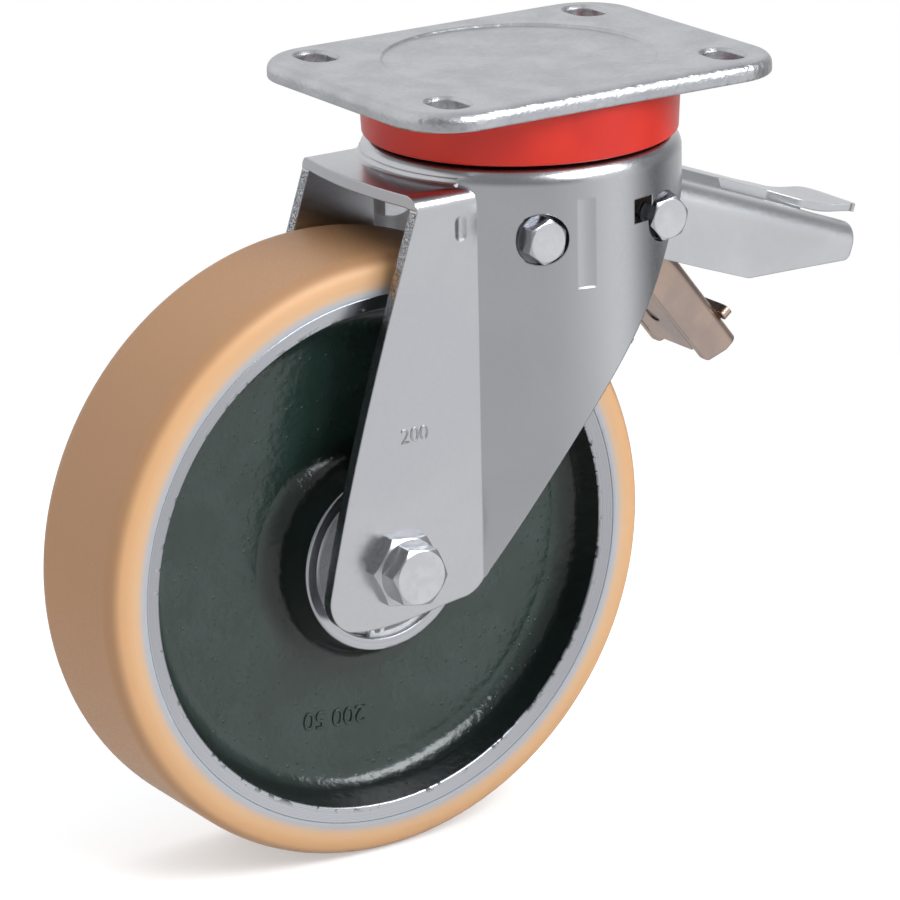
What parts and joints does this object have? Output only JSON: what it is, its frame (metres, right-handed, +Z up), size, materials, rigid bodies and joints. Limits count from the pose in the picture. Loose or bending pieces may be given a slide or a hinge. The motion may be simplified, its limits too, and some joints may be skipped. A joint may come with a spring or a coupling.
{
  "type": "braked swivel castor",
  "caption": "Top-plate swivel castor with a tan polyurethane tyre on a dark green iron wheel, a pressed plated fork and a front foot brake.",
  "frame": {"origin": "middle of the plate's top face, on the swivel axis", "axes": "+Z up out of the plate along the swivel axis, +X the way the castor rolls, with the wheel trailing at -X, and Y along the axle"},
  "size_m": [0.3047, 0.11, 0.25],
  "materials": {
    "plate_zinc": "bright zinc plating",
    "fork_zinc": "bright zinc plating on pressed sheet",
    "bolt_zinc": "bright zinc plating",
    "bearing_steel": "ground steel",
    "seal_orange": "orange-red plastic",
    "iron_green": "dark green paint on cast iron",
    "tread_tan": "caramel polyurethane",
    "pedal_zinc": "bright zinc plating",
    "lever_brown": "yellow-brown passivated zinc"
  },
  "bodies": {
    "plate_side": {"top_plate": "plate_zinc", "dust_seal": "seal_orange", "upper_balls": "bearing_steel", "lower_balls": "bearing_steel", "lower_race": "bearing_steel", "king_pin_washer": "bolt_zinc", "king_pin_nut": "bolt_zinc"},
    "fork": {"fork": "fork_zinc", "brake_anchor_bolt": "bolt_zinc", "brake_pivot_bolt": "bolt_zinc", "brake_nuts": "bolt_zinc", "brake_washers": "bolt_zinc", "anchor_tube": "bolt_zinc", "pivot_tube": "bolt_zinc", "pivot_spacers_outer": "bolt_zinc", "pivot_spacers_inner": "bolt_zinc", "axle_tube": "bolt_zinc", "axle_bolt": "bolt_zinc", "axle_washer": "bolt_zinc", "axle_nut": "bolt_zinc", "wheel_spacer_near": "bearing_steel", "wheel_spacer_far": "bearing_steel", "bearing_spacer": "bearing_steel", "bearing_inner_near": "bearing_steel", "bearing_inner_far": "bearing_steel"},
    "wheel": {"wheel_centre": "iron_green", "tread": "tread_tan", "bearing_outer_near": "bearing_steel", "bearing_outer_far": "bearing_steel", "bearing_balls_near": "bearing_steel", "bearing_balls_far": "bearing_steel", "bearing_shields_near": "bearing_steel", "bearing_shields_far": "bearing_steel", "circlip_near": "bearing_steel", "circlip_far": "bearing_steel"},
    "pedal": {"pedal": "pedal_zinc"},
    "brake_lever": {"brake_lever": "lever_brown", "brake_shoe": "lever_brown", "shoe_rivets": "lever_brown"}
  },
  "joints": [
    {"name": "swivel", "type": "hinge", "parent": "plate_side", "child": "fork", "pos_m": [0, 0, 0], "axis": [0, 0, 1], "continuous": true},
    {"name": "wheel_spin", "type": "hinge", "parent": "fork", "child": "wheel", "pos_m": [-0.07, 0, -0.15], "axis": [0, 1, 0], "continuous": true},
    {"name": "pedal_swing", "type": "hinge", "parent": "fork", "child": "pedal", "pos_m": [0.0234, 0, -0.0472], "axis": [0, 1, 0], "range_deg": [0, 29.8]},
    {"name": "brake_lever_swing", "type": "hinge", "parent": "fork", "child": "brake_lever", "pos_m": [0.0234, 0, -0.0472], "axis": [0, 1, 0], "range_deg": [0, 29.8]}
  ],
  "couplings": [
    {"joint": "brake_lever_swing", "follows": "pedal_swing", "ratio": 1}
  ]
}
